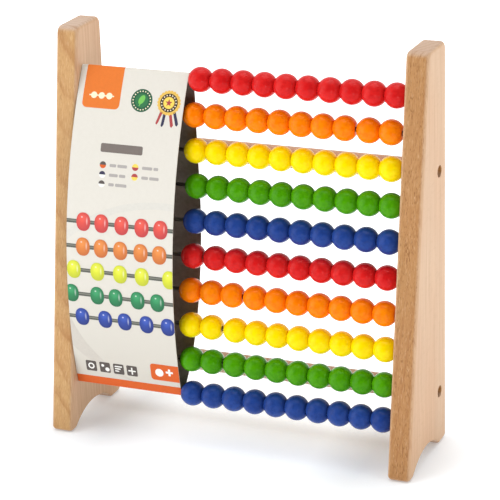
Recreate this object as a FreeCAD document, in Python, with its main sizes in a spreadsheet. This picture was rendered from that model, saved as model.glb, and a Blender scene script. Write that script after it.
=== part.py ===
import FreeCAD, Part
import math
import os
import Sketcher

# A counting frame: two tapered beech side boards joined by two round rails, ten steel rods
# between them, ten beads on each rod, and a folded card sleeve round the rods at the left.
# X runs along the rods, +Y is the back, +Z is up, and Z = 0 is the floor.

DIMENSIONS = {
    "board_height": 300.0,        # floor to the top of a side board
    "board_thick": 16.7,
    "foot_depth": 86.0,           # front to back at the floor
    "crown_depth": 38.7,          # front to back at the top, the rear edge being vertical
    "inner_width": 248.6,         # between the boards' inner faces
    "crown_round": 6.0,           # rounding of the outline at the two top corners
    "toe_round": 3.5,             # rounding of the outline at the two bottom corners
    "edge_round": 3.0,            # round-over along both faces
    "under_round": 1.5,           # smaller round-over along the arch and under the feet
    "arch_height": 11.5,
    "front_toe": 8.0,             # flat under the board in front of the arch
    "rear_toe": 15.0,             # flat under the board behind the arch
    "rod_thick": 3.0,
    "rod_socket": 10.0,           # depth of a blind rod hole
    "rod_setback": 11.3,          # rod axis behind the board's sloping front edge
    "top_rod_height": 266.7,
    "row_pitch": 25.35,           # height from one row down to the next
    "rail_thick": 15.8,
    "rail_socket": 5.0,           # depth of a blind rail hole
    "rail_depth_line": 27.4,      # Y of both rails' axes
    "upper_rail_height": 209.2,
    "lower_rail_height": 41.8,
    "screw_head": 8.0,
    "screw_shank": 4.0,
    "screw_length": 32.0,
    "screw_rim": 0.8,             # straight edge round a screw's head
    "screw_point": 3.0,           # length of a screw's tip
    "cross_width": 1.2,           # of each arm of the slot in a screw's head
    "cross_reach": 2.3,           # from the screw's axis to the end of an arm
    "cross_depth": 1.6,
    "screw_well": 9.0,            # counterbore that sinks a screw's head
    "screw_sink": 4.0,            # depth of that counterbore
    "bead_round": 18.4,           # diameter of the bead's ball shape
    "bead_length": 16.25,         # along the rod, between the two flats
    "bead_pitch": 16.3,           # centre to centre of two beads that touch
    "bead_bore": 3.8,
    "card_thick": 0.5,
    "sleeve_width": 84.6,         # along the rods
    "sleeve_inset": 0.3,          # from the left board's inner face
    "fold_round": 1.4,            # inner radius of the sleeve's two folds
    "fold_rise": 2.6,             # upper fold's centre above the first rod
    "fold_drop": 0.9,             # lower fold's centre below the last rod
    "front_bulge": 21.8,          # rise of the sleeve's front panel over its chord
    "upper_exit": 40.0,           # degrees above level at which the back panel leaves the fold
    "lower_exit": 50.0,           # degrees below level at which it meets the lower fold
    "rail_clearance": 0.4,        # from the sleeve's back panel to the upper rail
    "small_gap": 0.1,             # clearance of a seated rod, rail or screw
}

ROW_COUNT = 10
BEADS_PER_ROW = 10
TOUCH = 0.01                      # two places closer than this are the same place
COLOURS = ("red", "orange", "yellow", "green", "blue")
# One line per row: beads left of the row's gap, the gap, and the space up to the right board.
ROWS = (
    (5, 0.2, 0.2),
    (8, 1.5, 2.9),
    (5, 0.5, 1.9),
    (5, 0.2, 0.8),
    (9, 0.6, 1.2),
    (1, 1.2, 1.5),
    (3, 1.5, 2.2),
    (2, 2.4, 0.5),
    (2, 1.6, 0.2),
    (9, 0.2, 0.2),
)

# The sleeve's back panel: how far behind the line that just clears the upper rail, at a height.
BACK_PANEL = (
    (-0.8, 238.0),
    (0.0, 208.0),
    (1.2, 166.0),
    (-7.4, 104.0),
)

doc = FreeCAD.newDocument("abacus")
sheet = doc.addObject("Spreadsheet::Sheet", "dims")
for line, (alias, number) in enumerate(DIMENSIONS.items(), start=1):
    sheet.set(f"A{line}", alias)
    sheet.set(f"B{line}", str(number))
    sheet.setAlias(f"B{line}", alias)
doc.recompute()

sub_parts = []


def size(alias):
    """The number in the sheet's cell of that alias."""
    return float(getattr(sheet, alias))


def keep(item, name):
    """Name a finished sub-part, so that it is checked and written at the end."""
    item.Label = name
    sub_parts.append(item)
    return item


def sketch_on(body, name, role, offset=None):
    """A sketch on one of the body's own origin planes, moved along its normal by an expression."""
    plane = [item for item in body.Origin.OriginFeatures if item.Role == role][0]
    sketch = body.newObject("Sketcher::SketchObject", name)
    sketch.AttachmentSupport = [(plane, "")]
    sketch.MapMode = "FlatFace"
    if offset:
        sketch.setExpression("AttachmentOffset.Base.z", offset)
    return sketch


def constrain(sketch, name, expression, *arguments):
    """Add a named dimension to a sketch and bind it to an expression on the sheet."""
    index = sketch.addConstraint(Sketcher.Constraint(*arguments))
    sketch.renameConstraint(index, name)
    sketch.setExpression(f"Constraints.{name}", expression)


def closed_outline(sketch, edges):
    """Add edges to a sketch and join each one's end to the next one's start."""
    for edge in edges:
        sketch.addGeometry(edge, False)
    for index in range(len(edges)):
        following = (index + 1) % len(edges)
        sketch.addConstraint(Sketcher.Constraint("Coincident", index, 2, following, 1))


def line(start, end):
    return Part.LineSegment(FreeCAD.Vector(*start, 0), FreeCAD.Vector(*end, 0))


def rod_place(row):
    """Y and Z of the rod of a row, counted from 0 at the top."""
    height = size("top_rod_height") - size("row_pitch") * row
    slope = (size("foot_depth") - size("crown_depth")) / size("board_height")
    return -size("foot_depth") / 2 + slope * height + size("rod_setback"), height


# ---- side boards -------------------------------------------------------------------------

def board_outline(body):
    """The board seen from its side: sloping front edge, vertical back edge, arch below."""
    half, height = size("foot_depth") / 2, size("board_height")
    front, rear = -half + size("front_toe"), half - size("rear_toe")
    span, rise = rear - front, size("arch_height")
    radius = (span ** 2 / 4 + rise ** 2) / (2 * rise)
    middle = FreeCAD.Vector((front + rear) / 2, rise - radius, 0)
    lean = math.atan2(span / 2, radius - rise)
    arch = Part.ArcOfCircle(Part.Circle(middle, FreeCAD.Vector(0, 0, 1), radius),
                            math.pi / 2 - lean, math.pi / 2 + lean)
    crown = half - size("crown_depth")
    sketch = sketch_on(body, body.Name + "_outline", "YZ_Plane")
    sketch.addGeometry(line((-half, 0), (front, 0)), False)
    sketch.addGeometry(arch, False)
    for start, end in (((rear, 0), (half, 0)), ((half, 0), (half, height)),
                       ((half, height), (crown, height)), ((crown, height), (-half, 0))):
        sketch.addGeometry(line(start, end), False)
    for first, first_end, second, second_end in ((0, 2, 1, 2), (1, 1, 2, 1), (2, 2, 3, 1),
                                                 (3, 2, 4, 1), (4, 2, 5, 1), (5, 2, 0, 1)):
        joined = Sketcher.Constraint("Coincident", first, first_end, second, second_end)
        sketch.addConstraint(joined)
    for edge in (0, 2, 4):
        sketch.addConstraint(Sketcher.Constraint("Horizontal", edge))
    sketch.addConstraint(Sketcher.Constraint("Vertical", 3))
    constrain(sketch, "half_depth", "dims.foot_depth / 2", "DistanceX", -1, 1, 3, 1, half)
    constrain(sketch, "depth", "dims.foot_depth", "DistanceX", 5, 2, 3, 1, 2 * half)
    constrain(sketch, "height", "dims.board_height", "DistanceY", 3, 1, 3, 2, height)
    constrain(sketch, "crown", "dims.crown_depth", "DistanceX", 4, 2, 4, 1, half - crown)
    constrain(sketch, "front_toe", "dims.front_toe", "DistanceX", 0, 1, 0, 2, front + half)
    constrain(sketch, "rear_toe", "dims.rear_toe", "DistanceX", 2, 1, 2, 2, half - rear)
    wide = "(dims.foot_depth - dims.front_toe - dims.rear_toe)"
    arch_radius = f"({wide} * {wide} / 4 + dims.arch_height * dims.arch_height)"
    arch_radius += " / (2 * dims.arch_height)"
    constrain(sketch, "arch", arch_radius, "Radius", 1, radius)
    sketch.addConstraint(Sketcher.Constraint("PointOnObject", 0, 1, -1))
    return sketch


def circles(body, name, expression, places, at_offset):
    """A sketch of equal circles at (Y, Z) places, its diameters bound to the sheet."""
    sketch = sketch_on(body, name, "YZ_Plane", at_offset)
    for index, (across, up, across_rule, up_rule) in enumerate(places):
        centre = FreeCAD.Vector(across, up, 0)
        sketch.addGeometry(Part.Circle(centre, FreeCAD.Vector(0, 0, 1), 1.0), False)
        constrain(sketch, f"wide{index}", expression, "Diameter", index, 2.0)
        signed = "DistanceX", -1, 1, index, 3, across
        constrain(sketch, f"across{index}", across_rule, *signed)
        constrain(sketch, f"up{index}", up_rule, "DistanceY", -1, 1, index, 3, up)
    return sketch


def pocket(body, name, sketch, depth, reverse):
    """Cut the sketch into the body and make sure that it took material away."""
    before = body.Shape.Volume
    cut = body.newObject("PartDesign::Pocket", name)
    cut.Profile = sketch
    cut.setExpression("Length", depth)
    cut.Reversed = reverse
    doc.recompute()
    if body.Shape.Volume >= before:
        raise RuntimeError(f"{name} cuts nothing")
    return cut


def rod_circles():
    """Place and rules of the ten rod sockets."""
    places = []
    for row in range(ROW_COUNT):
        across, up = rod_place(row)
        up_rule = f"dims.top_rod_height - {row} * dims.row_pitch"
        slope = "(dims.foot_depth - dims.crown_depth) / dims.board_height"
        across_rule = f"-dims.foot_depth / 2 + ({up_rule}) * {slope} + dims.rod_setback"
        places.append((across, up, across_rule, up_rule))
    return places


def rail_circles():
    """Place and rules of the two rail centres."""
    return [(size("rail_depth_line"), size(f"{level}_rail_height"),
             "dims.rail_depth_line", f"dims.{level}_rail_height") for level in ("upper", "lower")]


def outline_edges(body, wanted):
    """Names of the body's edges for which wanted(edge) is true."""
    edges = enumerate(body.Shape.Edges, start=1)
    return [f"Edge{number}" for number, edge in edges if wanted(edge)]


def round_edges(body, name, radius, wanted):
    """A fillet, with its radius on the sheet, on the edges that are wanted."""
    base = body.Tip
    fillet = body.newObject("PartDesign::Fillet", name)
    fillet.Base = (base, outline_edges(body, wanted))
    fillet.setExpression("Radius", radius)
    doc.recompute()


def countersink(body, name, width, wanted):
    """A 45 degree chamfer, with its width on the sheet, on the edges that are wanted."""
    base = body.Tip
    cone = body.newObject("PartDesign::Chamfer", name)
    cone.Base = (base, outline_edges(body, wanted))
    cone.setExpression("Size", width)
    doc.recompute()


def make_board(name, side):
    """A side board; side is +1 at the right and -1 at the left."""
    body = doc.addObject("PartDesign::Body", name)
    pad = body.newObject("PartDesign::Pad", name + "_pad")
    pad.Profile = board_outline(body)
    pad.setExpression("Length", "dims.board_thick")
    doc.recompute()
    thick, height, half = size("board_thick"), size("board_height"), size("foot_depth") / 2

    def across_board(edge):
        ends = edge.Vertexes
        return len(ends) == 2 and abs(ends[0].X - ends[1].X) > thick - TOUCH

    def outer_toe(edge):
        return abs(edge.Vertexes[0].Y) > half - TOUCH and edge.Vertexes[0].Z < TOUCH

    round_edges(body, name + "_crown", "dims.crown_round",
                lambda edge: across_board(edge) and edge.Vertexes[0].Z > height - TOUCH)
    round_edges(body, name + "_toes", "dims.toe_round",
                lambda edge: across_board(edge) and outer_toe(edge))

    def on_a_face(edge):
        return edge.BoundBox.XLength < TOUCH

    def under(edge):
        return edge.BoundBox.ZMax < size("arch_height") + TOUCH

    round_edges(body, name + "_edges", "dims.edge_round",
                lambda edge: on_a_face(edge) and not under(edge))
    round_edges(body, name + "_under", "dims.under_round",
                lambda edge: on_a_face(edge) and under(edge))

    inner = None if side > 0 else "dims.board_thick"
    outer = "dims.board_thick" if side > 0 else None
    inward_cut = side > 0
    rods = circles(body, name + "_rods", "dims.rod_thick + dims.small_gap", rod_circles(), inner)
    pocket(body, name + "_rod_sockets", rods, "dims.rod_socket", inward_cut)
    rails = circles(body, name + "_rails", "dims.rail_thick + dims.small_gap", rail_circles(), inner)
    pocket(body, name + "_rail_sockets", rails, "dims.rail_socket", inward_cut)
    wells = circles(body, name + "_wells", "dims.screw_well", rail_circles(), outer)
    pocket(body, name + "_screw_wells", wells, "dims.screw_sink", not inward_cut)
    ways = circles(body, name + "_ways", "dims.screw_shank + dims.small_gap", rail_circles(), outer)
    pocket(body, name + "_screw_ways", ways, "dims.board_thick", not inward_cut)

    well_floor = thick - size("screw_sink") if side > 0 else size("screw_sink")
    way = (size("screw_shank") + size("small_gap")) / 2

    def mouth_of_a_way(edge):
        box = edge.BoundBox
        return abs(box.XMin - well_floor) < TOUCH and abs(box.ZLength - 2 * way) < TOUCH

    countersink(body, name + "_countersinks", "(dims.screw_head - dims.screw_shank) / 2",
                lambda edge: on_a_face(edge) and mouth_of_a_way(edge))
    across = size("inner_width") / 2 if side > 0 else -size("inner_width") / 2 - thick
    body.Placement.Base = FreeCAD.Vector(across, 0, 0)
    return keep(body, name)


# ---- rails, rods and screws --------------------------------------------------------------

ALONG_X = FreeCAD.Rotation(FreeCAD.Vector(0, 1, 0), 90)


def bar(name, radius, length, start):
    """A round bar along X that starts at a point."""
    item = doc.addObject("Part::Cylinder", name)
    item.setExpression("Radius", radius)
    item.setExpression("Height", length)
    item.Placement = FreeCAD.Placement(FreeCAD.Vector(*start), ALONG_X)
    return item


def make_rail(level):
    """A round rail with a pilot hole for a screw in each end."""
    depth_line, height = size("rail_depth_line"), size(f"{level}_rail_height")
    reach = size("inner_width") / 2 + size("rail_socket") - size("small_gap")
    drill = size("screw_length") - size("board_thick") + size("screw_sink") + size("rail_socket")
    name = f"{level}_rail"
    blank = bar(name + "_blank", "dims.rail_thick / 2",
                "dims.inner_width + 2 * (dims.rail_socket - dims.small_gap)",
                (-reach, depth_line, height))
    drill_length = "dims.screw_length - dims.board_thick + dims.screw_sink + dims.rail_socket"
    pilots = [bar(f"{name}_pilot_{side}", "dims.screw_shank / 2", drill_length,
                  (start, depth_line, height))
              for side, start in (("left", -reach), ("right", reach - drill))]
    both = doc.addObject("Part::MultiFuse", name + "_pilots")
    both.Shapes = pilots
    rail = doc.addObject("Part::Cut", name)
    rail.Base = blank
    rail.Tool = both
    keep(rail, name)


def make_rod(row):
    across, up = rod_place(row)
    reach = size("inner_width") / 2 + size("rod_socket") - size("small_gap")
    rod = bar(f"rod_{row + 1:02d}", "dims.rod_thick / 2",
              "dims.inner_width + 2 * (dims.rod_socket - dims.small_gap)", (-reach, across, up))
    keep(rod, rod.Name)


def make_screw(level, side):
    """A wood screw: flat head with a cross slot, plain shank and a short point."""
    name = f"{level}_{'right' if side > 0 else 'left'}_screw"
    body = doc.addObject("PartDesign::Body", name)
    head, shank = size("screw_head") / 2, size("screw_shank") / 2
    length, taper = size("screw_length"), head - shank
    rim, point = size("screw_rim"), size("screw_point")
    profile = sketch_on(body, name + "_profile", "XZ_Plane")
    corners = ((0, 0), (0, head), (-rim, head), (-rim - taper, shank),
               (-length + point, shank), (-length, 0))
    closed_outline(profile, [line(corners[index], corners[(index + 1) % len(corners)])
                             for index in range(len(corners))])
    profile.addConstraint(Sketcher.Constraint("Coincident", 0, 1, -1, 1))
    profile.addConstraint(Sketcher.Constraint("Vertical", 0))
    profile.addConstraint(Sketcher.Constraint("Horizontal", 1))
    profile.addConstraint(Sketcher.Constraint("Horizontal", 3))
    constrain(profile, "head", "dims.screw_head / 2", "DistanceY", -1, 1, 0, 2, head)
    constrain(profile, "shank", "dims.screw_shank / 2", "DistanceY", -1, 1, 3, 1, shank)
    constrain(profile, "length", "dims.screw_length", "DistanceX", 5, 1, -1, 1, length)
    turned = body.newObject("PartDesign::Revolution", name + "_turned")
    turned.Profile = profile
    turned.ReferenceAxis = (profile, ["H_Axis"])
    turned.Angle = 360.0
    doc.recompute()
    blade, reach = size("cross_width") / 2, size("cross_reach")
    cross = sketch_on(body, name + "_cross", "YZ_Plane")
    arms = ((reach, blade), (blade, blade), (blade, reach), (-blade, reach), (-blade, blade),
            (-reach, blade), (-reach, -blade), (-blade, -blade), (-blade, -reach),
            (blade, -reach), (blade, -blade), (reach, -blade))
    closed_outline(cross, [line(arms[index], arms[(index + 1) % len(arms)])
                           for index in range(len(arms))])
    slot = body.newObject("PartDesign::Pocket", name + "_slot")
    slot.Profile = cross
    slot.setExpression("Length", "dims.cross_depth")
    doc.recompute()
    face = size("inner_width") / 2 + size("board_thick") - size("screw_sink") + rim
    turn = FreeCAD.Rotation() if side > 0 else FreeCAD.Rotation(FreeCAD.Vector(0, 0, 1), 180)
    height = size(f"{level}_rail_height")
    body.Placement = FreeCAD.Placement(
        FreeCAD.Vector(side * face, size("rail_depth_line"), height), turn)
    keep(body, name)


# ---- beads -------------------------------------------------------------------------------

def make_beads(row, part_name, first, count):
    """Equal beads of one row side by side: count of them, the first one's centre at X = first."""
    name = f"row_{row + 1:02d}_{COLOURS[row % len(COLOURS)]}_beads_{part_name}"
    body = doc.addObject("PartDesign::Body", name)
    body.AllowCompound = True
    half, ball, bore = size("bead_length") / 2, size("bead_round") / 2, size("bead_bore") / 2
    rim = math.sqrt(ball ** 2 - half ** 2)
    lean = math.acos(half / ball)
    profile = sketch_on(body, name + "_profile", "XZ_Plane")
    crown = Part.ArcOfCircle(Part.Circle(FreeCAD.Vector(), FreeCAD.Vector(0, 0, 1), ball),
                             lean, math.pi - lean)
    profile.addGeometry(crown, False)
    for start, end in (((-half, rim), (-half, bore)), ((-half, bore), (half, bore)),
                       ((half, bore), (half, rim))):
        profile.addGeometry(line(start, end), False)
    for index in range(4):
        following = Sketcher.Constraint("Coincident", index, 2, (index + 1) % 4, 1)
        profile.addConstraint(following)
    profile.addConstraint(Sketcher.Constraint("Coincident", 0, 3, -1, 1))
    profile.addConstraint(Sketcher.Constraint("Vertical", 1))
    profile.addConstraint(Sketcher.Constraint("Vertical", 3))
    profile.addConstraint(Sketcher.Constraint("Horizontal", 2))
    constrain(profile, "ball", "dims.bead_round / 2", "Radius", 0, ball)
    constrain(profile, "bore", "dims.bead_bore / 2", "DistanceY", -1, 1, 2, 1, bore)
    constrain(profile, "flat", "dims.bead_length / 2", "DistanceX", 1, 1, -1, 1, half)
    constrain(profile, "length", "dims.bead_length", "DistanceX", 1, 1, 3, 2, 2 * half)
    turned = body.newObject("PartDesign::Revolution", name + "_turned")
    turned.Profile = profile
    turned.ReferenceAxis = (profile, ["H_Axis"])
    turned.Angle = 360.0
    if count > 1:
        string = body.newObject("PartDesign::LinearPattern", name + "_string")
        string.Originals = [turned]
        string.Direction = (profile, ["H_Axis"])
        string.Occurrences = count
        string.setExpression("Length", f"{count - 1} * dims.bead_pitch")
        body.Tip = string
    across, up = rod_place(row)
    body.Placement.Base = FreeCAD.Vector(first, across, up)
    keep(body, name)


def make_row(row):
    """The ten beads of a row, in two groups with the row's gap between them."""
    left_count, gap, board_space = ROWS[row]
    right_count = BEADS_PER_ROW - left_count
    pitch = size("bead_pitch")
    last = size("inner_width") / 2 - board_space - size("bead_length") / 2
    right_first = last - (right_count - 1) * pitch
    left_first = right_first - gap - size("bead_length") - (left_count - 1) * pitch
    make_beads(row, "left", left_first, left_count)
    make_beads(row, "right", right_first, right_count)


# ---- card sleeve -------------------------------------------------------------------------

def sleeve_outline(grow):
    """The sleeve seen from its end, its inner surface grown outwards by a distance.

    Two small round folds, a front panel that is one arc tangent to both, and a back panel
    that leaves the upper fold, passes just in front of the upper rail and comes forward
    to the lower fold.
    """
    first_y, first_z = rod_place(0)
    last_y, last_z = rod_place(ROW_COUNT - 1)
    upper = FreeCAD.Vector(0, first_y, first_z + size("fold_rise"))
    lower = FreeCAD.Vector(0, last_y, last_z - size("fold_drop"))
    fold, bulge = size("fold_round") + grow, size("front_bulge")
    half = (upper - lower).Length / 2
    along = (upper - lower).normalize()
    forward = FreeCAD.Vector(0, -along.z, along.y)
    arc_radius = (half ** 2 + bulge ** 2) / (2 * bulge)
    middle = (upper + lower) * 0.5
    centre = middle - forward * (arc_radius - bulge)

    def at_angle(degrees):
        turn = math.radians(degrees)
        return FreeCAD.Vector(0, math.cos(turn), math.sin(turn))

    def round_fold(fold_centre, start, end):
        """The fold's arc between two directions from its centre, by the shorter way round."""
        points = (start, (start + end).normalize(), end)
        return Part.Arc(*[fold_centre + point * fold for point in points])

    upper_front, lower_front = (upper - centre).normalize(), (lower - centre).normalize()
    upper_back, lower_back = at_angle(size("upper_exit")), at_angle(-size("lower_exit"))
    top_fold = round_fold(upper, upper_back, upper_front)
    front = Part.Arc(upper + upper_front * fold, centre + forward * (arc_radius + fold),
                     lower + lower_front * fold)
    bottom_fold = round_fold(lower, lower_front, lower_back)

    rail_front = size("rail_depth_line") - size("rail_thick") / 2
    rail_touch = rail_front - size("card_thick") - size("rail_clearance")
    back_points = [upper + upper_back * fold]
    for behind, height in BACK_PANEL:
        back_points.append(FreeCAD.Vector(0, rail_touch + behind + grow, height))
    back_points.append(lower + lower_back * fold)
    down_from_upper = FreeCAD.Vector(0, upper_back.z, -upper_back.y)
    down_to_lower = FreeCAD.Vector(0, lower_back.z, -lower_back.y)
    back = Part.BSplineCurve()
    back.interpolate(Points=back_points, InitialTangent=down_from_upper,
                     FinalTangent=down_to_lower)
    return Part.Wire([top_fold.toShape(), front.toShape(), bottom_fold.toShape(), back.toShape()])


def make_sleeve():
    """The folded card: the space between two outlines, as long as the sleeve is wide."""
    start = -size("inner_width") / 2 + size("sleeve_inset")
    length = FreeCAD.Vector(size("sleeve_width"), 0, 0)
    solids = []
    for grow in (size("card_thick"), 0):
        solids.append(Part.Face(sleeve_outline(grow)).extrude(length))
    sleeve = doc.addObject("Part::Feature", "display_sleeve")
    sleeve.Shape = solids[0].cut(solids[1])
    sleeve.Placement.Base = FreeCAD.Vector(start, 0, 0)
    keep(sleeve, "display_sleeve")


# ---- build, check and write --------------------------------------------------------------

make_board("left_side_board", -1)
make_board("right_side_board", 1)
for level in ("upper", "lower"):
    make_rail(level)
    for side in (-1, 1):
        make_screw(level, side)
for row in range(ROW_COUNT):
    make_rod(row)
    make_row(row)
make_sleeve()
doc.recompute()

for item in doc.Objects:
    if "Invalid" in item.State or "Error" in item.State:
        raise RuntimeError(f"{item.Label} failed to build")
os.makedirs("parts", exist_ok=True)
for item in sub_parts:
    if item.Shape.isNull() or not item.Shape.isValid():
        raise RuntimeError(f"{item.Label} has no valid shape")
    item.Shape.exportStep(f"parts/{item.Label}.step")
    print(item.Label, len(item.Shape.Solids), round(item.Shape.Volume))
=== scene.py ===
import math

import bmesh
import bpy
import numpy as np
from mathutils import Matrix, Vector, noise


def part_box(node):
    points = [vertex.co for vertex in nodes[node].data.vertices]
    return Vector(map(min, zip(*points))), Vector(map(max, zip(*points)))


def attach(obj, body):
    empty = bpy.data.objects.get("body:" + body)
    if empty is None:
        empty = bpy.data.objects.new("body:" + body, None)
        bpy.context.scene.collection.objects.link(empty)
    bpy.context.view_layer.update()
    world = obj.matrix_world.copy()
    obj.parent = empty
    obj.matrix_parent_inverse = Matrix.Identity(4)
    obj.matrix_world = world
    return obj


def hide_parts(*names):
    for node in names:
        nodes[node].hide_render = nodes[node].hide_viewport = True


# A child's counting frame: beech boards and rails, steel rods, a hundred lacquered beads and
# a printed card sleeve. X runs along the rods, +Y is the back, +Z is up. Metres throughout;
# MM turns the millimetres that the real object is made to into metres.

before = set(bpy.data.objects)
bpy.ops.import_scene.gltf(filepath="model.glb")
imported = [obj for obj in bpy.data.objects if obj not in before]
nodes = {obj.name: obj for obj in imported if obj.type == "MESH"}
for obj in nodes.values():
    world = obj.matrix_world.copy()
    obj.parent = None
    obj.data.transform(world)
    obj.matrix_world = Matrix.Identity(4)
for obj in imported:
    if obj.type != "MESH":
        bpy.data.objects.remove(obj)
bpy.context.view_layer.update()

MM = 0.001


def tint(red, green, blue):
    """The linear colour of an ordinary 0-255 screen colour."""
    linear = []
    for part in (red, green, blue):
        share = part / 255
        linear.append(share / 12.92 if share <= 0.04045 else ((share + 0.055) / 1.055) ** 2.4)
    return (*linear, 1.0)


# ---- materials ---------------------------------------------------------------------------

class Recipe:
    """A procedural material being put together round one Principled shader."""

    def __init__(self, name, **constants):
        self.material = bpy.data.materials.new(name)
        self.material.use_nodes = True
        self.tree = self.material.node_tree
        self.shader = self.tree.nodes["Principled BSDF"]
        for label, value in constants.items():
            self.shader.inputs[label.replace("_", " ")].default_value = value
        self.coordinates = self.add("TexCoord")
        self.place = self.vector("MULTIPLY", self.coordinates.outputs["Object"], (1 / MM,) * 3)

    def add(self, kind, **settings):
        node = self.tree.nodes.new("ShaderNode" + kind)
        for label, value in settings.items():
            setattr(node, label, value)
        return node

    def feed(self, socket, value):
        if isinstance(value, bpy.types.NodeSocket):
            self.tree.links.new(value, socket)
        else:
            socket.default_value = value

    def math(self, operation, *values):
        node = self.add("Math", operation=operation)
        for socket, value in zip(node.inputs, values):
            self.feed(socket, value)
        return node.outputs[0]

    def vector(self, operation, *values):
        node = self.add("VectorMath", operation=operation)
        for socket, value in zip(node.inputs, values):
            self.feed(socket, value)
        return node.outputs["Value" if operation == "LENGTH" else "Vector"]

    def parts(self, vector):
        node = self.add("SeparateXYZ")
        self.feed(node.inputs[0], vector)
        return node.outputs

    def noise(self, stretch, detail=2.0, roughness=0.5, place=None):
        """Smooth noise from 0 to 1; stretch is how many features a millimetre has each way."""
        node = self.add("TexNoise")
        scaled = self.vector("MULTIPLY", place or self.place, stretch)
        self.feed(node.inputs["Vector"], scaled)
        self.feed(node.inputs["Scale"], 1.0)
        self.feed(node.inputs["Detail"], detail)
        self.feed(node.inputs["Roughness"], roughness)
        return node.outputs[0]

    def ramp(self, value, *stops):
        """Eased steps from one (position, level) stop to the next, as a number."""
        node = self.add("ValToRGB")
        self.feed(node.inputs[0], value)
        elements = node.color_ramp.elements
        while len(elements) < len(stops):
            elements.new(0.5)
        for element, (position, level) in zip(elements, stops):
            element.position = position
            element.color = (level, level, level, 1.0)
        return node.outputs[0]

    def mix(self, share, first, second, blend="MIX"):
        node = self.add("Mix", data_type="RGBA", blend_type=blend)
        for index, value in ((0, share), (6, first), (7, second)):
            self.feed(node.inputs[index], value)
        return node.outputs[2]

    def colour(self, value):
        self.feed(self.shader.inputs["Base Color"], value)

    def rough(self, value, low, high):
        """Roughness from low to high as the value goes from 0 to 1."""
        node = self.add("MapRange")
        for label, number in (("Value", value), ("To Min", low), ("To Max", high)):
            self.feed(node.inputs[label], number)
        self.feed(self.shader.inputs["Roughness"], node.outputs[0])

    def bump(self, height, depth, strength=1.0):
        """Relief of a depth in millimetres where the height goes from 0 to 1."""
        node = self.add("Bump")
        self.feed(node.inputs["Height"], height)
        self.feed(node.inputs["Distance"], depth * MM)
        self.feed(node.inputs["Strength"], strength)
        self.feed(self.shader.inputs["Normal"], node.outputs[0])


RING_STEP = 4.6                    # millimetres from one growth ring to the next
RING_BEND, RING_RIPPLE = 16.0, 2.4  # how far rings wander, slowly and quickly


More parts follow.
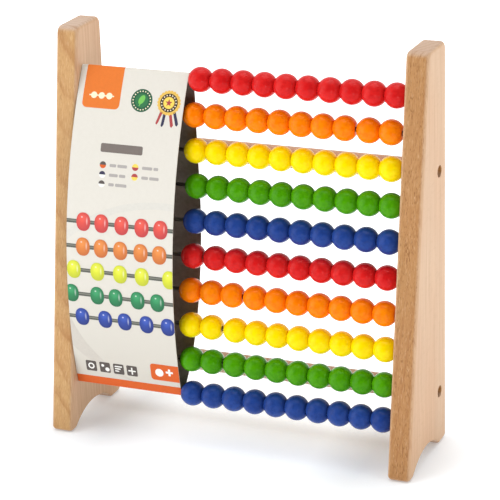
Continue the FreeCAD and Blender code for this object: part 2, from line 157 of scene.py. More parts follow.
def beech(name, along_rods, pith, rings, fleck_strength, face, edge, end):
    """Oiled beech. Growth rings lie round a pith line outside the piece; rays show as short
    dark flecks where the surface cuts across them. rings and fleck_strength say how strongly
    both show; face, edge and end colour the broad faces, the narrow edges and the end grain."""
    wood = Recipe(name, Coat_Weight=0.04, Coat_Roughness=0.35, Specular_IOR_Level=0.35)
    x, y, z = wood.parts(wood.place)
    if along_rods:
        x, y, z = y, z, x
    order = wood.add("CombineXYZ")
    for socket, value in zip(order.inputs, (x, y, z)):
        wood.feed(socket, value)
    fibre = order.outputs[0]
    wobble = wood.noise((0.02, 0.02, 0.007), place=fibre)
    ripple = wood.noise((0.09, 0.09, 0.012), place=fibre)
    across = wood.math("SUBTRACT", x, pith[0])
    depth = wood.math("SUBTRACT", y, pith[1])
    depth = wood.math("MULTIPLY_ADD", wobble, RING_BEND, depth)
    depth = wood.math("MULTIPLY_ADD", ripple, RING_RIPPLE, depth)
    reach = wood.math("SQRT", wood.math("ADD", wood.math("MULTIPLY", across, across),
                                        wood.math("MULTIPLY", depth, depth)))
    year = wood.math("FRACT", wood.math("DIVIDE", reach, RING_STEP))
    ring = wood.ramp(year, (0.0, 0.25), (0.12, 0.0), (0.62, 0.2), (0.93, 1.0), (1.0, 0.25))
    vivid = wood.ramp(wood.noise((0.05, 0.05, 0.009), place=fibre), (0.35, 0.25), (0.68, 1.0))
    ring = wood.math("MULTIPLY", ring, vivid)
    streak = wood.noise((1.1, 1.1, 0.018), detail=4.0, roughness=0.62, place=fibre)
    pore = wood.noise((4.0, 4.0, 0.28), detail=2.0, place=fibre)
    cell = wood.noise((1.7, 0.14, 0.34), detail=1.0, place=fibre)
    column = wood.ramp(wood.noise((0.5, 0.1, 0.014), place=fibre), (0.32, 0.25), (0.6, 1.0))
    fleck = wood.math("MULTIPLY", wood.ramp(cell, (0.56, 0.0), (0.66, 1.0)), column)

    if along_rods:
        base = wood.mix(wood.ramp(streak, (0.3, 0.0), (0.7, 1.0)), face, edge)
        side = 0.5
    else:
        way = wood.add("VectorMath", operation="ABSOLUTE")
        wood.feed(way.inputs[0], wood.coordinates.outputs["Normal"])
        sideways, forwards, upwards = wood.parts(way.outputs[0])
        side = wood.ramp(sideways, (0.35, 0.0), (0.9, 1.0))
        narrow = wood.ramp(forwards, (0.72, 0.0), (0.97, 1.0))
        capped = wood.ramp(upwards, (0.45, 0.0), (0.85, 1.0))
        # colour by which way the surface faces: edges and end grain get their own tints, which as set
        # per board also hold painted shade
        base = wood.mix(narrow, face, edge)
        base = wood.mix(capped, base, end)
    warm = wood.noise((0.012, 0.03, 0.01), detail=1.0, place=fibre)
    base = wood.mix(wood.ramp(warm, (0.35, 0.0), (0.7, 0.5)), base,
                    wood.mix(1.0, base, tint(250, 232, 214), "MULTIPLY"))
    dark = wood.mix(1.0, base, tint(214, 186, 152), "MULTIPLY")
    grain = wood.math("MULTIPLY", ring, rings if along_rods else
                      wood.math("MULTIPLY_ADD", side, -0.5 * rings, rings))
    base = wood.mix(grain, base, dark)
    base = wood.mix(wood.ramp(streak, (0.3, 0.32), (0.56, 0.0)), base, dark)
    base = wood.mix(wood.ramp(streak, (0.55, 0.0), (0.8, 0.3)), base, tint(252, 226, 190))
    if along_rods:
        marks = wood.math("MULTIPLY", fleck, fleck_strength)
    else:
        open_to_rays = wood.math("MULTIPLY", wood.math("MULTIPLY_ADD", side, -0.92, 1.0),
                                 wood.math("MULTIPLY_ADD", capped, -0.9, 1.0))
        marks = wood.math("MULTIPLY", wood.math("MULTIPLY", fleck, open_to_rays), fleck_strength)
    base = wood.mix(marks, base, tint(148, 98, 50))
    base = wood.mix(wood.ramp(pore, (0.62, 0.0), (0.78, 0.16)), base, tint(150, 105, 66))
    wood.colour(base)
    wood.rough(streak, 0.40, 0.56)
    wood.bump(wood.math("ADD", wood.math("MULTIPLY", pore, 0.5), streak), 0.05, 0.55)
    return wood.material


def lacquer(name, colour, shade, glow):
    """Satin paint on a turned bead: a little uneven in tone, faint fibres under it."""
    gloss = [0.25 + 0.75 * part for part in colour[:3]]
    paint = Recipe(name, IOR=1.38, Specular_IOR_Level=0.5, Specular_Tint=(*gloss, 1.0))
    tone = paint.noise((0.045, 0.045, 0.045), detail=1.0)
    cloud = paint.noise((0.28, 0.28, 0.28), detail=3.0)
    fibre = paint.noise((0.5, 3.2, 3.2), detail=2.0)
    base = paint.mix(paint.ramp(tone, (0.32, 0.0), (0.68, 1.0)), colour, glow)
    base = paint.mix(paint.ramp(cloud, (0.36, 0.45), (0.56, 0.0)), base, shade)
    base = paint.mix(paint.ramp(fibre, (0.58, 0.0), (0.75, 0.14)), base, shade)
    paint.colour(base)
    paint.rough(cloud, 0.13, 0.2)
    paint.bump(paint.math("ADD", paint.math("MULTIPLY", fibre, 0.45), cloud), 0.02, 0.3)
    return paint.material


def metal(name, colour, worn, stretch, low, high):
    """Bare or plated steel with fine drawn lines and a few dull patches."""
    steel = Recipe(name, Metallic=1.0)
    line = steel.noise(stretch, detail=3.0)
    patch = steel.noise((0.07, 0.4, 0.4), detail=3.0)
    base = steel.mix(steel.ramp(patch, (0.42, 0.0), (0.66, 1.0)), colour, worn)
    base = steel.mix(steel.ramp(line, (0.5, 0.0), (0.72, 0.35)), base, worn)
    steel.colour(base)
    steel.rough(line, low, high)
    steel.bump(line, 0.012, 0.5)
    return steel.material


def card(name, colour, speck, speck_share, roughness, low=None):
    """One surface of the card: coated, raw, or cut. low is a tone that it is shaded towards
    near the bottom of the frame."""
    board = Recipe(name, Specular_IOR_Level=0.25)
    mottle = board.noise((0.35, 0.35, 0.35), detail=4.0, roughness=0.65)
    hair = board.noise((1.6, 0.5, 0.5), detail=3.0, roughness=0.6)
    if low:
        height = board.math("DIVIDE", board.parts(board.place)[2], 300.0)
        colour = board.mix(board.ramp(height, (0.1, 1.0), (0.5, 0.0)), colour, low)
    base = board.mix(board.ramp(mottle, (0.35, speck_share), (0.62, 0.0)), colour, speck)
    base = board.mix(board.ramp(hair, (0.6, 0.0), (0.8, speck_share)), base, speck)
    board.colour(base)
    board.rough(mottle, roughness - 0.06, roughness + 0.08)
    board.bump(hair, 0.02, 0.35)
    return board.material


def ink(name, colour):
    """A flat printed colour, very slightly uneven."""
    film = Recipe(name, Specular_IOR_Level=0.2)
    mottle = film.noise((0.5, 0.5, 0.5), detail=3.0)
    deep = film.mix(1.0, colour, tint(226, 226, 226), "MULTIPLY")
    film.colour(film.mix(film.ramp(mottle, (0.35, 0.16), (0.65, 0.0)), colour, deep))
    film.rough(mottle, 0.42, 0.54)
    return film.material


def printed_bead(name, colour, dark, light):
    """A picture of a glossy bead. Its map runs from -1 to 1 across the bead each way."""
    film = Recipe(name, Specular_IOR_Level=0.4)
    place = film.coordinates.outputs["UV"]

    def spot(centre, radii, inner, outer, level):
        off = film.vector("SUBTRACT", place, (*centre, 0.0))
        round_off = film.vector("DIVIDE", off, (*radii, 1.0))
        return film.ramp(film.vector("LENGTH", round_off), (inner, level), (outer, 0.0))

    lit = spot((-0.2, 0.25), (1.35, 1.3), 0.15, 1.0, 1.0)
    base = film.mix(lit, dark, colour)
    base = film.mix(spot((-0.1, 0.4), (0.8, 0.55), 0.1, 1.0, 0.45), base, light)
    base = film.mix(spot((0.5, 0.1), (0.15, 0.5), 0.2, 1.0, 0.35), base, tint(255, 255, 255))
    base = film.mix(spot((-0.22, 0.5), (0.16, 0.11), 0.2, 1.0, 0.65), base, tint(255, 255, 255))
    film.colour(base)
    film.rough(film.noise((0.5, 0.5, 0.5)), 0.34, 0.46)
    return film.material


# The boards' face, edge and end tints are partly the beech's own colour and partly painted shade and
# light. Each board's tints are set darker or lighter for how its faces are lit: the left board's
# faces darker for the shade on its inner face, and the right board's front edges darker than its
# outer face.
BOARD_WOOD = {
    "left_side_board": beech("beech_left", False, (-118.0, 96.0), 0.85, 0.36,
                             tint(202, 166, 131), tint(203, 161, 107), tint(203, 177, 156)),
    "right_side_board": beech("beech_right", False, (36.0, 70.0), 0.5, 0.95,
                              tint(206, 170, 135), tint(187, 139, 87), tint(197, 166, 141)),
}
# The rails' tints are greyer than the boards': partly the beech's own colour, partly painted shade
# for the shade they sit in behind the beads and the sleeve.
RAIL_WOOD = beech("beech_rail", True, (60.0, 130.0), 0.5, 0.35,
                  tint(206, 181, 156), tint(196, 169, 142), tint(201, 175, 148))
ROD_STEEL = metal("rod_steel", tint(150, 146, 140), tint(92, 88, 84), (0.02, 5.0, 5.0), 0.26, 0.42)
SCREW_ZINC = metal("screw_zinc", tint(196, 190, 172), tint(128, 120, 104), (1.5, 1.5, 1.5),
                   0.3, 0.5)
LACQUERS = {
    "red": lacquer("red_lacquer", tint(209, 27, 28), tint(186, 20, 24), tint(217, 38, 36)),
    "orange": lacquer("orange_lacquer", tint(250, 126, 3), tint(234, 104, 2), tint(254, 138, 10)),
    "yellow": lacquer("yellow_lacquer", tint(255, 222, 0), tint(250, 206, 0), tint(255, 230, 8)),
    "green": lacquer("green_lacquer", tint(70, 148, 5), tint(52, 128, 4), tint(80, 158, 10)),
    "blue": lacquer("blue_lacquer", tint(34, 63, 136), tint(26, 50, 114), tint(42, 73, 148)),
}


def dress(item, material):
    """Give a piece from the frame its one material."""
    item.data.materials.clear()
    item.data.materials.append(material)


for name, item in nodes.items():
    if name in BOARD_WOOD:
        dress(item, BOARD_WOOD[name])
    elif name.endswith("_rail"):
        dress(item, RAIL_WOOD)
    elif name.endswith("_screw"):
        dress(item, SCREW_ZINC)
    elif name.startswith("rod_"):
        dress(item, ROD_STEEL)


# ---- beads -------------------------------------------------------------------------------

BEAD_BALL = 18.4 / 2 * MM          # radius of the ball shape
BEAD_HALF = 16.25 / 2 * MM         # half the length along the rod
BEAD_PITCH = 16.3 * MM
BEAD_BORE = 1.9 * MM               # radius of the hole
MOUTH = 0.45 * MM                  # rounding where the hole opens
RIM_EASE = 0.25 * MM               # the flat end stops this far inside the ball's edge
CROWN_EASE = 0.04                  # and the ball starts this far round from it, in radians
FIRST_TURN = 6.28                  # a bead is turned on its rod by up to this, in radians
AROUND = 48
MOUTH_STEPS, CROWN_STEPS = 4, 26


def bead_profile():
    """(along, radius) points of a bead's closed outline, from one mouth to the other."""
    lean = math.acos(BEAD_HALF / BEAD_BALL)
    rim = math.sqrt(BEAD_BALL ** 2 - BEAD_HALF ** 2)
    points = []
    for step in range(MOUTH_STEPS + 1):
        turn = math.pi / 2 * step / MOUTH_STEPS
        points.append((-BEAD_HALF + MOUTH - MOUTH * math.sin(turn),
                       BEAD_BORE + MOUTH - MOUTH * math.cos(turn)))
    points.append((-BEAD_HALF + 0.01 * MM, rim - RIM_EASE))
    for step in range(CROWN_STEPS + 1):
        turn = lean + CROWN_EASE + (math.pi - 2 * lean - 2 * CROWN_EASE) * step / CROWN_STEPS
        points.append((-BEAD_BALL * math.cos(turn), BEAD_BALL * math.sin(turn)))
    return points + [(-along, radius) for along, radius in reversed(points[:MOUTH_STEPS + 2])]


def make_bead(name, centre, material):
    """One turned bead with a drilled hole, its centre at a point."""
    mesh = bmesh.new()
    start = FIRST_TURN * noise.random()
    rings = []
    for along, radius in bead_profile():
        ring = []
        for step in range(AROUND):
            turn = start + 2 * math.pi * step / AROUND
            ring.append(mesh.verts.new(centre + Vector(
                (along, radius * math.cos(turn), radius * math.sin(turn)))))
        rings.append(ring)
    for first, second in zip(rings, rings[1:] + rings[:1]):
        for step in range(AROUND):
            following = (step + 1) % AROUND
            mesh.faces.new((first[step], first[following], second[following], second[step]))
    bmesh.ops.recalc_face_normals(mesh, faces=mesh.faces)
    return finish_mesh(mesh, name, [material])


def finish_mesh(mesh, name, materials, smooth=True):
    """A linked object from a bmesh, with its materials."""
    data = bpy.data.meshes.new(name)
    mesh.to_mesh(data)
    mesh.free()
    for polygon in data.polygons:
        polygon.use_smooth = smooth
    for material in materials:
        data.materials.append(material)
    item = bpy.data.objects.new(name, data)
    bpy.context.scene.collection.objects.link(item)
    return item


noise.seed_set(7)
for name in sorted(n for n in nodes if "_beads_" in n):
    low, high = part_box(name)
    row, colour, part = name.split("_")[1], name.split("_")[2], name.split("_")[4]
    count = round((high.x - low.x - 2 * BEAD_HALF) / BEAD_PITCH) + 1
    middle = (low + high) / 2
    for index in range(count):
        centre = Vector((low.x + BEAD_HALF + index * BEAD_PITCH, middle.y, middle.z))
        bead = make_bead(f"bead_{row}_{part}_{index + 1}_{colour}", centre, LACQUERS[colour])
        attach(bead, f"row_{row}_{part}_beads")
        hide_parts(name)


# ---- card sleeve -------------------------------------------------------------------------

CARD = 0.5                         # thickness of the card
FOLD = 1.4                         # inner radius of a fold
BULGE = 21.8                       # rise of the front panel over its chord
UPPER_EXIT, LOWER_EXIT = 40, -50   # where the back panel leaves each fold, in degrees
# Points of the back panel: how far behind a line that clears the upper rail, and a height.
BACK_PANEL = ((-0.8, 238.0), (0.0, 208.0), (1.2, 166.0), (-7.4, 104.0))
CLEAR_OF_RAIL = 0.4
RAIL_THICK = 15.8
UPPER_FOLD_RISE, LOWER_FOLD_DROP = 2.6, 0.9   # fold centres, above rod 1 and below rod 10
FRONT_STEPS, FOLD_STEPS, BACK_STEPS = 72, 16, 96


def centre_of(name):
    """(Y, Z) of a bar that lies along X, in millimetres."""
    low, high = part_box(name)
    return np.array([(low.y + high.y) / 2, (low.z + high.z) / 2]) / MM


def clamped_spline(points, first_way, last_way, steps):
    """Smooth curve through points that starts and ends in the given directions."""
    gaps = [np.linalg.norm(b - a) for a, b in zip(points, points[1:])]
    count = len(points)
    rules, results = np.zeros((count, count)), np.zeros((count, 2))
    rules[0, 0] = rules[-1, -1] = 1.0
    results[0], results[-1] = first_way, last_way
    for k in range(1, count - 1):
        before, after = gaps[k - 1], gaps[k]
        rules[k, k - 1:k + 2] = after, 2 * (before + after), before
        results[k] = 3 * (after / before * (points[k] - points[k - 1])
                          + before / after * (points[k + 1] - points[k]))
    ways = np.linalg.solve(rules, results)
    total, curve = sum(gaps), []
    for step in range(1, steps):
        along, k = total * step / steps, 0
        while along > gaps[k]:
            along -= gaps[k]
            k += 1
        t = along / gaps[k]
        curve.append((2 * t**3 - 3 * t**2 + 1) * points[k] + (t**3 - 2 * t**2 + t) * gaps[k] * ways[k]
                     + (3 * t**2 - 2 * t**3) * points[k + 1]
                     + (t**3 - t**2) * gaps[k] * ways[k + 1])
    return curve


def round_way(degrees):
    """Unit direction at an angle."""
    turn = math.radians(degrees)
    return np.array([math.cos(turn), math.sin(turn)])


def degrees_of(way):
    """Angle of a direction, from 0 to 360."""
    return math.degrees(math.atan2(way[1], way[0])) % 360


def sleeve_outline(grow):
    """Closed outline of the sleeve seen from its end: down the front, round the lower fold,
    up the back and over the upper fold. (Y, Z) points in millimetres."""
    upper = centre_of("rod_01") + (0, UPPER_FOLD_RISE)
    lower = centre_of("rod_10") - (0, LOWER_FOLD_DROP)
    half = np.linalg.norm(upper - lower) / 2
    along = (upper - lower) / (2 * half)
    forward = np.array([-along[1], along[0]])
    radius = (half**2 + BULGE**2) / (2 * BULGE)
    centre = (upper + lower) / 2 - forward * (radius - BULGE)
    fold = FOLD + grow
    top, bottom = degrees_of(upper - centre), degrees_of(lower - centre)
    points = [centre + round_way(top + (bottom - top) * step / FRONT_STEPS) * (radius + fold)
              for step in range(FRONT_STEPS)]
    turn = 360 + LOWER_EXIT - bottom
    points += [lower + round_way(bottom + turn * step / FOLD_STEPS) * fold
               for step in range(FOLD_STEPS + 1)]
    rail = centre_of("upper_rail")[0] - RAIL_THICK / 2 - CARD - CLEAR_OF_RAIL
    stops = [upper + round_way(UPPER_EXIT) * fold]
    stops += [np.array([rail + behind + grow, height]) for behind, height in BACK_PANEL]
    stops.append(lower + round_way(LOWER_EXIT) * fold)
    back = clamped_spline(stops, round_way(UPPER_EXIT - 90), round_way(LOWER_EXIT - 90), BACK_STEPS)
    points += back[::-1]
    turn = top - UPPER_EXIT
    points += [upper + round_way(UPPER_EXIT + turn * step / FOLD_STEPS) * fold
               for step in range(FOLD_STEPS)]
    return points


sleeve_low, sleeve_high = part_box("display_sleeve")
SLEEVE_LEFT = sleeve_low.x
SLEEVE_WIDTH = (sleeve_high.x - sleeve_low.x) / MM
outer_line, inner_line = sleeve_outline(CARD), sleeve_outline(0.0)
run = [0.0]
for here, there in zip(outer_line, outer_line[1:] + outer_line[:1]):
    run.append(run[-1] + float(np.linalg.norm(there - here)))
AROUND_SLEEVE = run[-1]
FRONT_LENGTH = run[FRONT_STEPS]
BACK_START, BACK_END = run[FRONT_STEPS + FOLD_STEPS], run[-FOLD_STEPS - 1]


def wrapped(across, down, lift):
    """Place on the sleeve's outer surface: millimetres from its left end and from the top of
    its front panel, measured over the card, raised by a lift."""
    down %= AROUND_SLEEVE
    k = int(np.searchsorted(run, down, side="right")) - 1
    here, there = outer_line[k], outer_line[(k + 1) % len(outer_line)]
    share = (down - run[k]) / (run[k + 1] - run[k])
    way = (there - here) / np.linalg.norm(there - here)
    outward = np.array([way[1], -way[0]])
    y, z = here + (there - here) * share + outward * lift
    return Vector((SLEEVE_LEFT + across * MM, y * MM, z * MM))


COATED = card("card_coated", tint(222, 217, 207), tint(213, 207, 196), 0.2, 0.42,
              low=tint(207, 201, 190))
RAW = card("card_raw", tint(134, 125, 116), tint(106, 98, 90), 0.5, 0.75)
CUT = card("card_cut", tint(205, 196, 182), tint(150, 136, 118), 0.6, 0.8)

mesh = bmesh.new()
loops = []
for line, across in ((outer_line, 0.0), (outer_line, SLEEVE_WIDTH),
                     (inner_line, SLEEVE_WIDTH), (inner_line, 0.0)):
    loops.append([mesh.verts.new((SLEEVE_LEFT + across * MM, y * MM, z * MM)) for y, z in line])
for index, (first, second) in enumerate(zip(loops, loops[1:] + loops[:1])):
    for step in range(len(first)):
        following = (step + 1) % len(first)
        face = mesh.faces.new((first[step], first[following], second[following], second[step]))
        face.material_index = (0, 2, 1, 2)[index]
bmesh.ops.recalc_face_normals(mesh, faces=mesh.faces)
for edge in mesh.edges:
    kinds = {face.material_index for face in edge.link_faces}
    edge.smooth = len(kinds) == 1
sleeve = finish_mesh(mesh, "card_sleeve", [COATED, RAW, CUT])
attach(sleeve, "frame")
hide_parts("display_sleeve")


# ---- print on the sleeve -----------------------------------------------------------------

STRIP, FINE = 2.0, 0.25            # longest piece of a print down the panels and the folds
LAYER = 0.035                      # each ink layer's rise over the one below
FILM = 0.05                        # thickness of an ink film

INKS = {
    "tab_orange": ink("ink_tab_orange", tint(228, 121, 46)),
    "stripe_orange": ink("ink_stripe_orange", tint(216, 96, 38)),
    "cream": ink("ink_cream", tint(252, 238, 205)),
    "white": ink("ink_white", tint(244, 242, 236)),
    "dark_green": ink("ink_dark_green", tint(44, 92, 66)),
    "mid_green": ink("ink_mid_green", tint(52, 118, 74)),
    "leaf_green": ink("ink_leaf_green", tint(118, 196, 92)),
    "gold": ink("ink_gold", tint(232, 190, 92)),
    "pale_gold": ink("ink_pale_gold", tint(248, 216, 96)),
    "ring_brown": ink("ink_ring_brown", tint(66, 54, 44)),
    "ribbon_red": ink("ink_ribbon_red", tint(176, 74, 74)),
    "ribbon_navy": ink("ink_ribbon_navy", tint(58, 56, 82)),
    "title_grey": ink("ink_title_grey", tint(122, 112, 106)),
    "word_grey": ink("ink_word_grey", tint(176, 170, 166)),
    "icon_grey": ink("ink_icon_grey", tint(92, 84, 80)),
    "swoosh": ink("ink_swoosh", tint(219, 215, 206)),
    "band": ink("ink_band", tint(206, 199, 189)),
    "rod_dark": ink("ink_rod_dark", tint(92, 94, 86)),
    "rod_light": ink("ink_rod_light", tint(128, 128, 118)),
    "red": printed_bead("print_red", tint(228, 76, 62), tint(186, 56, 60), tint(236, 104, 88)),
    "orange": printed_bead("print_orange", tint(226, 132, 52), tint(192, 100, 40),
                           tint(238, 156, 84)),
    "yellow": printed_bead("print_yellow", tint(222, 226, 40), tint(184, 190, 40),
                           tint(234, 236, 96)),
    "green": printed_bead("print_green", tint(34, 142, 84), tint(16, 98, 60),
                          tint(72, 172, 116)),
    "blue": printed_bead("print_blue", tint(34, 68, 164), tint(20, 40, 116),
                         tint(70, 102, 200)),
}
INKS["card"] = COATED
INK_ORDER = list(INKS)


def trimmed(points, axis, limit, keep_above):
    """The part of a flat outline on one side of a line across or down the card."""
    kept = []
    sign = 1 if keep_above else -1
    for here, there in zip(points, points[1:] + points[:1]):
        a, b = sign * (here[axis] - limit), sign * (there[axis] - limit)
        if a >= 0:
            kept.append(here)
        if (a > 0 > b) or (a < 0 < b):
            share = a / (a - b)
            kept.append(tuple(h + (t - h) * share for h, t in zip(here, there)))
    return kept


class Print:
    """Flat shapes laid out in millimetres on the card and wrapped on to its surface."""

    def __init__(self):
        self.mesh = bmesh.new()
        self.map = self.mesh.loops.layers.uv.new("place")

    def lay(self, points, colour, layer, centre=(0.0, 0.0), reach=(10.0, 10.0)):
        """Print a convex outline; centre and reach set where its own map is 0 and 1."""
        points = trimmed(trimmed(list(points), 0, 0.0, True), 0, SLEEVE_WIDTH, False)
        if len(points) < 3:
            return
        top, low = min(p[1] for p in points), max(p[1] for p in points)
        while top < low - 1e-6:
            spot = top % AROUND_SLEEVE
            on_panel = spot < FRONT_LENGTH - STRIP or BACK_START < spot < BACK_END - STRIP
            foot = min(top + (STRIP if on_panel else FINE), low)
            piece = trimmed(trimmed(points, 1, top, True), 1, foot, False)
            top = foot
            corners = [p for k, p in enumerate(piece) if math.dist(p, piece[k - 1]) > 1e-4]
            if len(corners) < 3:
                continue
            if sum(a[0] * b[1] - b[0] * a[1] for a, b in zip(corners, corners[1:] + corners[:1])) > 0:
                corners.reverse()
            face = self.mesh.faces.new([self.mesh.verts.new(wrapped(*corner, layer * LAYER))
                                        for corner in corners])
            face.material_index = INK_ORDER.index(colour)
            for loop, corner in zip(face.loops, corners):
                loop[self.map].uv = ((corner[0] - centre[0]) / reach[0],
                                     (centre[1] - corner[1]) / reach[1])

    def disc(self, centre, radius, colour, layer, start=0.0, end=360.0):
        self.lay(oval(centre, (radius, radius), start=start, end=end), colour, layer)

    def block(self, left, top, width, height, colour, layer, corner=0.4):
        self.lay(rounded(left, top, width, height, corner), colour, layer)

    def ring(self, centre, inner, outer, colour, layer, start=0.0, end=360.0, steps=48,
             taper=0.0):
        """A ring or an arc of one, its inner radius growing by the taper towards the end."""
        for step in range(steps):
            turns = [math.radians(start + (end - start) * (step + k) / steps) for k in (0, 1)]
            holes = [inner + taper * (step + k) / steps for k in (0, 1)]
            quad = [(centre[0] + radius * math.cos(turn), centre[1] - radius * math.sin(turn))
                    for turn, radius in ((turns[0], holes[0]), (turns[0], outer),
                                         (turns[1], outer), (turns[1], holes[1]))]
            self.lay(quad, colour, layer)

    def done(self, name, thickness=FILM):
        bmesh.ops.remove_doubles(self.mesh, verts=self.mesh.verts, dist=0.002 * MM)
        item = finish_mesh(self.mesh, name, [INKS[colour] for colour in INK_ORDER], False)
        film = item.modifiers.new("film", "SOLIDIFY")
        film.thickness = thickness * MM
        film.offset = -1.0
        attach(item, "frame")
        return item


def oval(centre, radii, lean=0.0, start=0.0, end=360.0, steps=40, power=2.0):
    """Outline of an ellipse, or of a slice of one, leaning by some degrees. A power over 2
    squares it up."""
    c, s = math.cos(math.radians(lean)), math.sin(math.radians(lean))
    points = []
    full = end - start >= 360
    for step in range(steps if full else steps + 1):
        turn = math.radians(start + (end - start) * step / steps)
        x, y = (math.copysign(abs(part) ** (2 / power), part) * radius
                for part, radius in ((math.cos(turn), radii[0]), (-math.sin(turn), radii[1])))
        points.append((centre[0] + c * x - s * y, centre[1] + s * x + c * y))
    return points


def rounded(left, top, width, height, corner):
    """Outline of a rectangle with round corners."""
    points = []
    for x, y, start in ((left + width - corner, top + corner, 0),
                        (left + corner, top + corner, 90),
                        (left + corner, top + height - corner, 180),
                        (left + width - corner, top + height - corner, 270)):
        for step in range(5):
            turn = math.radians(start + 90 * step / 4)
            points.append((x + corner * math.cos(turn), y - corner * math.sin(turn)))
    return points


def ring_of_dots(sheet, centre, reach, count, radius, colour, layer):
    """Equal dots at equal steps round a centre."""
    for step in range(count):
        turn = 2 * math.pi * step / count
        place = (centre[0] + reach * math.cos(turn), centre[1] - reach * math.sin(turn))
        sheet.disc(place, radius, colour, layer)


front = Print()

# pale arc behind the beads and a pale band from the left edge to the lower part of the card
front.ring((76.0, 212.0), 113.5, 118.6, "swoosh", 1, start=84, end=135, steps=90)
front.ring((68.0, 140.0), 82.0, 98.0, "band", 1, start=215, end=258, steps=90, taper=15.5)

# tab over the top fold, with three plain dots on a bar
front.lay([(4.7, -2.6), *rounded(4.7, 20.0, 29.7, 9.9, 3.6)[10:], (34.4, -2.6)], "tab_orange", 1)
front.block(9.6, 20.1, 19.8, 0.9, "cream", 2, corner=0.4)
for place in (13.4, 19.5, 25.6):
    front.disc((place, 20.5), 2.4, "cream", 3)

# round badge with a plain leaf and a ring of dots
BADGE = (51.5, 21.7)
front.disc(BADGE, 8.4, "dark_green", 1)
front.disc(BADGE, 5.2, "mid_green", 2)
front.lay(oval((BADGE[0], BADGE[1] - 0.6), (2.1, 3.6), lean=28), "leaf_green", 3)
front.lay([(BADGE[0] - 1.9, BADGE[1] + 3.9), (BADGE[0] - 1.3, BADGE[1] + 4.2),
           (BADGE[0] + 0.4, BADGE[1] + 1.0), (BADGE[0] - 0.4, BADGE[1] + 0.8)], "leaf_green", 3)
ring_of_dots(front, BADGE, 6.8, 20, 0.48, "cream", 3)

# rosette with four ribbon ends
ROSETTE = (72.9, 21.8)
for start, end, colour in (((-4.6, 8.2), (-7.4, 15.6), "ribbon_red"),
                           ((-2.0, 9.0), (-3.1, 17.0), "ribbon_navy"),
                           ((2.0, 9.0), (4.3, 17.0), "ribbon_red"),
                           ((5.2, 8.2), (8.2, 15.8), "ribbon_navy")):
    x0, y0, x1, y1 = (ROSETTE[0] + start[0], ROSETTE[1] + start[1],
                      ROSETTE[0] + end[0], ROSETTE[1] + end[1])
    front.lay([(x0 - 1.1, y0 - 2), (x0 + 1.1, y0 - 2), (x1 + 1.1, y1 - 1.2), (x1, y1 + 0.6),
               (x1 - 1.1, y1 - 0.2)], colour, 1)
ring_of_dots(front, ROSETTE, 7.9, 22, 1.25, "gold", 1)
front.disc(ROSETTE, 8.1, "gold", 2)
front.disc(ROSETTE, 6.8, "ring_brown", 3)
front.disc(ROSETTE, 4.4, "gold", 4)
front.disc(ROSETTE, 3.9, "pale_gold", 5)
ring_of_dots(front, ROSETTE, 5.6, 16, 0.5, "cream", 4)
for step in range(5):
    turn = math.radians(90 + 72 * step)
    tip = (ROSETTE[0] + 2.9 * math.cos(turn), ROSETTE[1] - 2.9 * math.sin(turn))
    sides = [(ROSETTE[0] + 1.2 * math.cos(turn + k), ROSETTE[1] - 1.2 * math.sin(turn + k))
             for k in (0.63, -0.63)]
    front.lay([tip, sides[0], ROSETTE, sides[1]], "ribbon_red", 6)

# a title and five short lines, as plain bars and dots
front.block(23.8, 54.6, 33.2, 6.4, "title_grey", 1, corner=1.2)
for (x, y), first, second, words in (((26.7, 70.2), "icon_grey", "stripe_orange", (5.2, 7.6)),
                                     ((26.7, 77.2), "ribbon_navy", "white", (7.0, 5.0)),
                                     ((26.7, 84.0), "icon_grey", "white", (4.4, 9.0)),
                                     ((52.4, 69.9), "pale_gold", "ribbon_red", (8.0, 3.6)),
                                     ((52.4, 76.9), "ribbon_red", "pale_gold", (5.2, 7.4))):
    front.disc((x, y), 2.5, first, 1, 0.0, 180.0)
    front.disc((x, y), 2.5, second, 1, 180.0, 360.0)
    front.block(x + 5.4, y - 1.1, words[0], 2.2, "word_grey", 1, corner=0.7)
    front.block(x + 6.4 + words[0], y - 1.1, words[1], 2.2, "word_grey", 1, corner=0.7)

# five rods of printed beads: a colour, how far down, and each bead's place across the card
PRINTED_BEAD = (5.6, 6.8)          # half the width and height of one
PRINTED_ROWS = (
    ("red", 112.9, (13.5, 28.0, 44.1, 60.0, 74.9)),
    ("orange", 131.4, (13.3, 27.8, 43.4, 59.6, 74.3)),
    ("yellow", 149.1, (5.7, 24.8, 43.0, 60.4, 82.2)),
    ("green", 167.6, (3.3, 23.9, 38.8, 56.4, 72.1)),
    ("blue", 185.7, (10.6, 29.2, 45.0, 62.5, 79.5)),
)
for colour, down, places in PRINTED_ROWS:
    front.block(0.0, down - 1.45, SLEEVE_WIDTH, 2.9, "rod_dark", 2, corner=0.05)
    front.block(0.0, down - 0.75, SLEEVE_WIDTH, 1.0, "rod_light", 3, corner=0.05)
    for across in places:
        place = (across, down)
        front.lay(oval(place, PRINTED_BEAD, power=2.25), colour, 4, place, PRINTED_BEAD)

# four small picture squares and a corner tab, with plain marks in them
for place in (13.3, 24.5, 35.7, 46.6):
    front.block(place - 4.3, 222.0, 8.6, 8.8, "icon_grey", 2, corner=1.0)
front.ring((13.3, 226.4), 1.5, 2.6, "white", 3, steps=24)
front.disc((22.8, 224.9), 1.2, "white", 3)
front.disc((26.3, 227.9), 1.7, "white", 3)
for step in range(3):
    front.block(32.7, 223.7 + 2.0 * step, 6.0 - 1.4 * step, 1.0, "white", 3, corner=0.3)
front.block(43.6, 225.9, 6.0, 1.1, "white", 3, corner=0.3)
front.block(46.05, 223.5, 1.1, 6.0, "white", 3, corner=0.3)
front.block(62.0, 217.4, 30.0, 13.8, "stripe_orange", 2, corner=2.4)
front.disc((69.0, 224.5), 3.3, "white", 3)
front.block(74.2, 222.6, 5.8, 1.7, "white", 3, corner=0.4)
front.block(76.25, 220.55, 1.7, 5.8, "white", 3, corner=0.4)

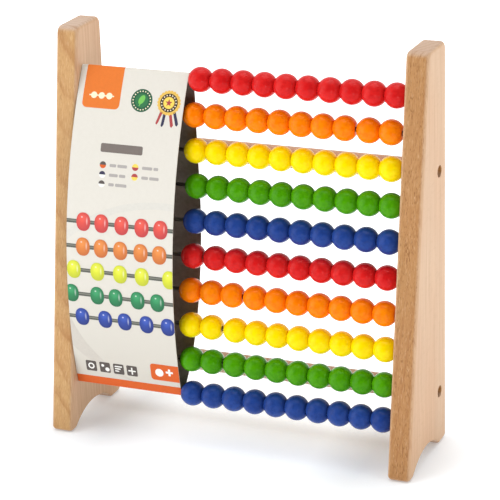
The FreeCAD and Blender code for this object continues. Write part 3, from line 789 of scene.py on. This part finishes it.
# stripe along the lower fold
STRIPE_ABOVE_FOLD, STRIPE_WIDTH = 5.8, 10.4
front.block(0.0, FRONT_LENGTH - STRIPE_ABOVE_FOLD, SLEEVE_WIDTH, STRIPE_WIDTH,
            "stripe_orange", 1, corner=0.05)
front.done("sleeve_print")

# the back panel: a plain bar, lines, a chart of one to five dots and a block of stripes
back = Print()
back.block(7.0, BACK_END - 30.0, SLEEVE_WIDTH - 14.0, 10.0, "tab_orange", 1, corner=2.0)
for step, width in enumerate((62.0, 54.0, 66.0, 40.0)):
    back.block(SLEEVE_WIDTH - 9.0 - width, BACK_END - 40.0 - 5.0 * step, width, 1.5, "word_grey", 1)
for step, colour in enumerate(("ribbon_red", "tab_orange", "pale_gold", "mid_green", "ribbon_navy")):
    for count in range(step + 1):
        back.disc((SLEEVE_WIDTH - 13.0 - 8.0 * count, BACK_END - 72.0 - 8.0 * step), 2.6, colour, 1)
    back.block(12.0, BACK_END - 72.8 - 8.0 * step, 16.0, 1.6, "word_grey", 1)
left = 46.0
for step in range(16):
    width = (0.5, 1.0, 0.7, 1.4)[(step * 7 + step // 3) % 4]
    back.block(left, BACK_START + 34.0, width, 13.0, "icon_grey", 1, corner=0.05)
    left += width + (0.9, 0.6, 1.2)[(step * 5) % 3]
for step, width in enumerate((24.0, 18.0, 27.0)):
    back.block(10.0, BACK_START + 36.0 + 4.0 * step, width, 1.3, "word_grey", 1)
back.done("sleeve_back_print")

# the glued end of the card, lapped over the back panel
FLAP_PLACE, FLAP_WIDTH, FLAP_THICK = 58.0, 16.0, 0.44
FLAP_LAYER = 13                    # its outer face is this many ink layers up
flap = Print()
flap.block(0.0, BACK_START + FLAP_PLACE, SLEEVE_WIDTH, FLAP_WIDTH, "card", FLAP_LAYER, corner=0.05)
flap.done("sleeve_flap", FLAP_THICK)


# ---- camera, floor and light -------------------------------------------------------------

AZIMUTH, ELEVATION, ROLL = 23.01, 20.04, -1.86    # degrees
CAMERA_PLACE = (0.57532, -1.33776, 0.67564)
LENS, SENSOR = 154.85, 36.0
camera_data = bpy.data.cameras.new("camera")
camera_data.lens = LENS
camera_data.sensor_width = SENSOR
camera = bpy.data.objects.new("camera", camera_data)
a, e, r = (math.radians(angle) for angle in (AZIMUTH, ELEVATION, ROLL))
ahead = Vector((-math.sin(a) * math.cos(e), math.cos(a) * math.cos(e), -math.sin(e)))
level = Vector((math.cos(a), math.sin(a), 0.0))
upright = level.cross(ahead)
right = level * math.cos(r) + upright * math.sin(r)
above = upright * math.cos(r) - level * math.sin(r)
camera.matrix_world = Matrix.Translation(CAMERA_PLACE) @ Matrix(
    (right, above, -ahead)).transposed().to_4x4()
bpy.context.scene.collection.objects.link(camera)
bpy.context.scene.camera = camera

FLOOR_HALF, FLOOR_DROP = 4.0, 0.0002
FADE_OUT = 1200.0                  # millimetres over which the floor's glow rises outwards
FADE_ACROSS = 200.0                # and over which it dips at the boards
mesh = bmesh.new()
bmesh.ops.create_grid(mesh, x_segments=8, y_segments=8, size=FLOOR_HALF)
paper = Recipe("studio_floor", Roughness=0.8, Specular_IOR_Level=0.0,
               Emission_Color=(1.0, 1.0, 1.0, 1.0))
drift = paper.noise((0.002, 0.002, 0.002))
paper.colour(paper.mix(drift, tint(234, 239, 243), tint(232, 237, 241)))
# painted light and painted shadow: the floor glows though it is no lamp, less round the frame and
# least beside the boards, a painted shadow there that also lets the real shadows show
away = paper.vector("LENGTH", paper.vector("MULTIPLY", paper.place, (1.0, 1.9, 0.0)))
glow = paper.ramp(paper.math("DIVIDE", away, FADE_OUT), (0.1, 0.12), (0.2, 0.44), (0.75, 0.66))
across = paper.math("ABSOLUTE", paper.parts(paper.place)[0])
middle = paper.ramp(paper.math("DIVIDE", across, FADE_ACROSS),
                    (0.3, 0.22), (0.5, 0.0), (0.72, 0.0), (0.95, 0.1))
glow = paper.math("ADD", glow, middle)
paper.feed(paper.shader.inputs["Emission Strength"], glow)
floor = finish_mesh(mesh, "studio_floor", [paper.material])
floor.location.z = -FLOOR_DROP

world = bpy.data.worlds.new("studio")
bpy.context.scene.world = world
world.use_nodes = True
# a white tent with a dark opening towards the front right
OPENING_WAY = (0.37, -0.87, 0.34)
sky = world.node_tree
facing = sky.nodes.new("ShaderNodeVectorMath")
facing.operation = "DOT_PRODUCT"
facing.inputs[1].default_value = OPENING_WAY
sky.links.new(sky.nodes.new("ShaderNodeTexCoord").outputs["Generated"], facing.inputs[0])
opening = sky.nodes.new("ShaderNodeMapRange")
for label, number in (("From Min", 0.6), ("From Max", 0.74), ("To Min", 0.9), ("To Max", 0.1)):
    opening.inputs[label].default_value = number
sky.links.new(facing.outputs["Value"], opening.inputs["Value"])
sky.links.new(opening.outputs[0], sky.nodes["Background"].inputs["Strength"])
sky.nodes["Background"].inputs["Color"].default_value = (1.0, 1.0, 1.0, 1.0)
bpy.context.scene.view_settings.view_transform = "Standard"

AIM = Vector((0.0, 0.0, 0.14))
for name, place, width, power in (("key", (-1.4, -1.35, 0.85), 1.7, 16.0),
                                  ("front", (0.93, -1.54, 0.25), 0.36, 2.4),
                                  ("side", (1.8, -0.2, 0.45), 0.9, 4.5),
                                  ("top", (0.1, 0.15, 1.9), 1.3, 12.0)):
    lamp_data = bpy.data.lights.new(name, "AREA")
    lamp_data.size = width
    lamp_data.energy = power
    lamp = bpy.data.objects.new(name, lamp_data)
    lamp.location = place
    lamp.rotation_euler = (AIM - Vector(place)).to_track_quat("-Z", "Y").to_euler()
    bpy.context.scene.collection.objects.link(lamp)

bpy.context.view_layer.update()
